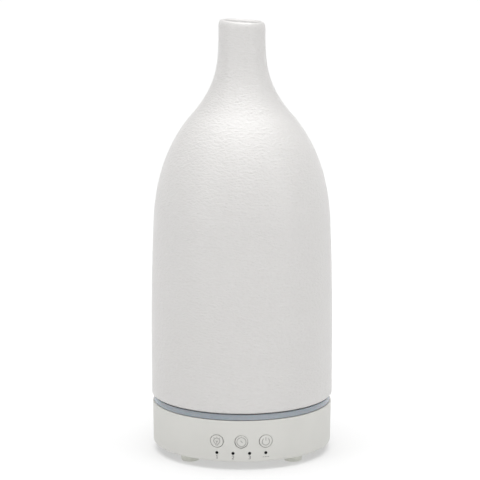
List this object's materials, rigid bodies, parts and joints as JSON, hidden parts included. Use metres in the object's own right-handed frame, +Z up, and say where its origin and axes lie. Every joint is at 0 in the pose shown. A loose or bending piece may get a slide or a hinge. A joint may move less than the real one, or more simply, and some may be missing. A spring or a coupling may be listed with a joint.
{
  "type": "essential oil diffuser",
  "caption": "Bottle-shaped bisque ceramic cover with a slim neck over an ultrasonic water tank, on a round white plastic base with a light ring and flush push buttons.",
  "frame": {"origin": "centre of the bounding box's underside: on the surface that the feet stand on, on the axis of the base and cover", "axes": "+Z up along the bottle's axis; the buttons face -Y; +X is on the right as one faces the buttons"},
  "size_m": [0.098, 0.098, 0.2345],
  "materials": {
    "bisque_ceramic": "unglazed fine-grained bisque, warm white",
    "abs_white": "fine-textured white ABS moulding",
    "ring_silver": "silver-grey translucent light ring",
    "pp_white": "translucent white polypropylene",
    "smoked_black": "smoked black acrylic",
    "foot_rubber": "soft white rubber",
    "silicone_clear": "milky silicone",
    "zinc_steel": "zinc-plated steel",
    "electrode_silver": "silvered electrode on a steel-faced ceramic disc",
    "board_green": "green solder mask on glass-epoxy board",
    "fan_black": "black moulded plastic",
    "ferrite": "dark ferrite",
    "aluminium": "extruded aluminium",
    "capacitor_sleeve": "shrink sleeve",
    "nylon_white": "natural nylon",
    "wire_red": "PVC insulation",
    "wire_black": "PVC insulation",
    "wire_grey": "PVC insulation"
  },
  "bodies": {
    "root": {"base_housing": "abs_white", "board_screw_1": "zinc_steel", "board_screw_2": "zinc_steel", "bottom_cover": "abs_white", "bottom_screw_1": "zinc_steel", "bottom_screw_2": "zinc_steel", "bottom_screw_3": "zinc_steel", "bottom_screw_4": "zinc_steel", "capacitor": "capacitor_sleeve", "clamp_screw_1": "zinc_steel", "clamp_screw_2": "zinc_steel", "clamp_screw_3": "zinc_steel", "control_board": "board_green", "controller_chip": "fan_black", "dc_jack": "fan_black", "dc_jack_pin": "zinc_steel", "fan_connector": "nylon_white", "fan_frame": "fan_black", "fan_lead": "wire_black", "fan_screw_1": "zinc_steel", "fan_screw_2": "zinc_steel", "foot_1": "foot_rubber", "foot_2": "foot_rubber", "foot_3": "foot_rubber", "foot_4": "foot_rubber", "heatsink": "aluminium", "indicator_window": "smoked_black", "inductor": "ferrite", "inlet_lead": "wire_black", "light_ring": "ring_silver", "main_board": "board_green", "panel_connector": "nylon_white", "panel_lead": "wire_grey", "piezo_clamp": "zinc_steel", "piezo_disc": "electrode_silver", "piezo_gasket": "silicone_clear", "piezo_lead_black": "wire_black", "piezo_lead_red": "wire_red", "ring_light_board": "board_green", "ring_light_lead": "wire_red", "switch_light": "zinc_steel", "switch_power": "zinc_steel", "switch_timer": "zinc_steel", "tank_seal": "silicone_clear", "transistor": "fan_black", "water_tank": "pp_white"},
    "cover": {"ceramic_cover": "bisque_ceramic"},
    "lid": {"tank_lid": "pp_white", "splash_guard": "pp_white"},
    "fan": {"fan_rotor": "fan_black"},
    "light_button": {"button_light": "abs_white", "plunger_light": "fan_black"},
    "timer_button": {"button_timer": "abs_white", "plunger_timer": "fan_black"},
    "power_button": {"button_power": "abs_white", "plunger_power": "fan_black"}
  },
  "joints": [
    {"name": "cover_lift", "type": "slide", "parent": "root", "child": "cover", "axis": [0, 0, 1], "range_m": [0, 0.1]},
    {"name": "lid_lift", "type": "slide", "parent": "root", "child": "lid", "axis": [0, 0, 1], "range_m": [0, 0.035]},
    {"name": "fan_spin", "type": "hinge", "parent": "root", "child": "fan", "pos_m": [-0.0195, 0.004, 0.013], "axis": [0, 0, 1], "continuous": true},
    {"name": "light_press", "type": "slide", "parent": "root", "child": "light_button", "axis": [0, 1, 0], "range_m": [0, 0.0005], "stiffness_N_per_m": 1500},
    {"name": "timer_press", "type": "slide", "parent": "root", "child": "timer_button", "axis": [0, 1, 0], "range_m": [0, 0.0005], "stiffness_N_per_m": 1500},
    {"name": "power_press", "type": "slide", "parent": "root", "child": "power_button", "axis": [0, 1, 0], "range_m": [0, 0.0005], "stiffness_N_per_m": 1500}
  ]
}
